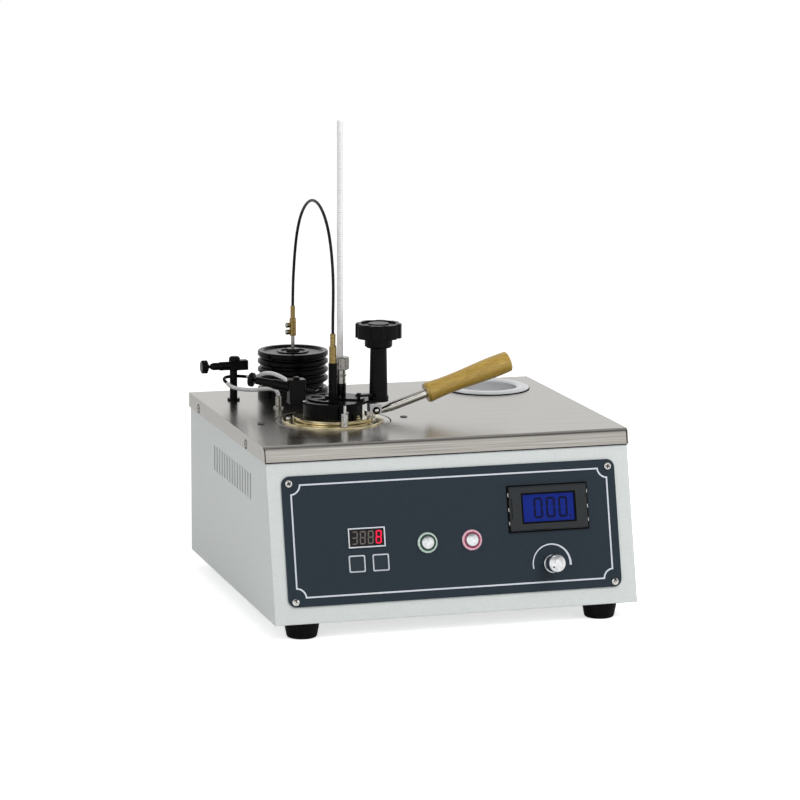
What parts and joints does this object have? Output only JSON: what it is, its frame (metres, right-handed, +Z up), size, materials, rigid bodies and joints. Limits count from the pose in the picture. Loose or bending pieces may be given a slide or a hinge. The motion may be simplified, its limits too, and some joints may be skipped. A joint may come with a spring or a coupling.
{
  "type": "flash point tester",
  "caption": "Bench flash point tester: sloping-front case, heated stove with lidded brass cup, motor-driven stirrer, shutter knob, gas igniter and thermometer.",
  "frame": {"origin": "on the bench under the middle of the overall box, at the level of the feet", "axes": "+Z up, the control panel faces -Y, +X to the right as seen from the front"},
  "size_m": [0.366, 0.3773, 0.476],
  "materials": {
    "case_paint": "smooth semi-gloss enamel",
    "cover_steel": "brushed",
    "panel_film": "matt printed film",
    "black_metal": "semi-gloss black",
    "black_plastic": "moulded",
    "key_film": "matt",
    "rubber": "matt",
    "brass": "satin",
    "chrome": "polished",
    "steel": "turned",
    "aluminium": "turned",
    "wood": "varnished",
    "glass": "clear",
    "lcd": "backlit",
    "led": "dark window",
    "green_ring": "satin",
    "red_ring": "satin",
    "silicone": "soft translucent",
    "cast_grey": "cast",
    "heater": "mica and steel",
    "board": "lacquered",
    "iron": "laminated"
  },
  "bodies": {
    "base": {"case_shell": "case_paint", "top_cover": "cover_steel", "front_panel": "panel_film", "case_screws": "chrome", "feet": "rubber", "led_display": "led", "button_ring_left": "green_ring", "button_ring_right": "red_ring", "meter_bezel": "black_plastic", "meter_lcd": "lcd", "potentiometer": "steel", "power_inlet": "black_plastic", "fuse_holder": "black_plastic", "gas_inlet": "brass", "gas_pipe": "brass", "control_board": "board", "transformer": "iron", "air_bath": "iron", "stove_trim": "cover_steel", "stove_plate": "brass", "heater_band": "heater", "stove_screws": "steel", "locating_post": "steel", "storage_well": "cast_grey", "motor_housing": "black_metal", "motor_cap": "black_metal", "gas_post": "black_metal", "gas_valve_body": "black_metal", "gas_tube": "black_metal", "plate_nipple": "aluminium", "supply_hose": "silicone", "hose_post_side": "silicone"},
    "key_left": {"key_left": "key_film"},
    "key_right": {"key_right": "key_film"},
    "button_left": {"button_left": "chrome"},
    "button_right": {"button_right": "chrome"},
    "pot_knob": {"pot_knob": "aluminium"},
    "post_valve_knob": {"post_valve_knob": "black_metal"},
    "motor_spindle": {"motor_spindle": "steel"},
    "cup": {"cup": "brass", "handle_rod": "chrome", "handle_grip": "wood", "handle_bracket": "chrome"},
    "lid": {"lid_rim": "black_metal", "lid_cover": "black_metal", "stirrer_housing": "black_metal", "thermometer_socket": "black_metal", "knob_post": "black_plastic", "burner_block": "black_metal", "flexible_shaft": "rubber", "hose_lid_side": "silicone"},
    "shutter_knob": {"shutter_knob": "black_plastic"},
    "shutter": {"shutter": "black_metal"},
    "igniter": {"igniter_tube": "black_metal"},
    "burner_valve_knob": {"burner_valve_knob": "black_metal"},
    "stirrer": {"stirrer": "steel", "stirrer_coupling": "brass"},
    "drive_coupling": {"drive_coupling": "brass"},
    "thermometer": {"thermometer": "glass", "thermometer_ferrule": "steel"}
  },
  "joints": [
    {"name": "cup_lift", "type": "slide", "parent": "base", "child": "cup", "axis": [0, 0, 1], "range_m": [0, 0.075], "deforming": ["hose_post_side"]},
    {"name": "lid_lift", "type": "slide", "parent": "cup", "child": "lid", "axis": [0, 0, 1], "range_m": [0, 0.07], "deforming": ["hose_lid_side"]},
    {"name": "thermometer_lift", "type": "slide", "parent": "lid", "child": "thermometer", "axis": [0, 0, 1], "range_m": [0, 0.09]},
    {"name": "motor_spin", "type": "hinge", "parent": "base", "child": "motor_spindle", "pos_m": [-0.0825, 0.12883, 0.2275], "axis": [0, 0, 1], "continuous": true},
    {"name": "drive_spin", "type": "hinge", "parent": "lid", "child": "drive_coupling", "pos_m": [-0.0825, 0.12883, 0.2602], "axis": [0, 0, 1], "continuous": true},
    {"name": "stirrer_spin", "type": "hinge", "parent": "lid", "child": "stirrer", "pos_m": [-0.0825, -0.02367, 0.203], "axis": [0, 0, 1], "continuous": true},
    {"name": "shutter_knob_turn", "type": "hinge", "parent": "lid", "child": "shutter_knob", "pos_m": [-0.0385, -0.03267, 0.2635], "axis": [0, 0, -1], "range_deg": [0, 38], "stiffness_Nm_per_rad": 0.12, "springref_deg": -11.46},
    {"name": "shutter_turn", "type": "hinge", "parent": "lid", "child": "shutter", "pos_m": [-0.0825, -0.02367, 0.203], "axis": [0, 0, 1], "range_deg": [0, 30.5]},
    {"name": "igniter_dip", "type": "hinge", "parent": "lid", "child": "igniter", "pos_m": [-0.1195, -0.02367, 0.215], "axis": [0.8121, -0.5687, -0.1305], "range_deg": [0, 38]},
    {"name": "burner_valve_turn", "type": "hinge", "parent": "lid", "child": "burner_valve_knob", "pos_m": [-0.1195, -0.02367, 0.215], "axis": [0.8121, -0.5687, -0.1305], "range_deg": [0, 270]},
    {"name": "post_valve_turn", "type": "hinge", "parent": "base", "child": "post_valve_knob", "pos_m": [-0.1492, 0.11183, 0.2167], "axis": [-1, 0, 0], "range_deg": [0, 270]},
    {"name": "pot_turn", "type": "hinge", "parent": "base", "child": "pot_knob", "pos_m": [0.0961, -0.17935, 0.06065], "axis": [0, -0.9717, 0.2363], "range_deg": [-270, 0]},
    {"name": "button_left_press", "type": "slide", "parent": "base", "child": "button_left", "axis": [0, 0.9717, -0.2363], "range_m": [0, 0.0025], "stiffness_N_per_m": 500, "springref_m": -0.0015},
    {"name": "button_right_press", "type": "slide", "parent": "base", "child": "button_right", "axis": [0, 0.9717, -0.2363], "range_m": [0, 0.0025], "stiffness_N_per_m": 500, "springref_m": -0.0015},
    {"name": "key_left_press", "type": "slide", "parent": "base", "child": "key_left", "axis": [0, 0.9717, -0.2363], "range_m": [0, 0.0005], "stiffness_N_per_m": 2500, "springref_m": -0.0003},
    {"name": "key_right_press", "type": "slide", "parent": "base", "child": "key_right", "axis": [0, 0.9717, -0.2363], "range_m": [0, 0.0005], "stiffness_N_per_m": 2500, "springref_m": -0.0003}
  ],
  "couplings": [
    {"joint": "drive_spin", "follows": "motor_spin", "ratio": 1},
    {"joint": "stirrer_spin", "follows": "motor_spin", "ratio": -1},
    {"joint": "shutter_turn", "follows": "shutter_knob_turn", "ratio": 0.80263},
    {"joint": "igniter_dip", "follows": "shutter_knob_turn", "ratio": 1}
  ]
}
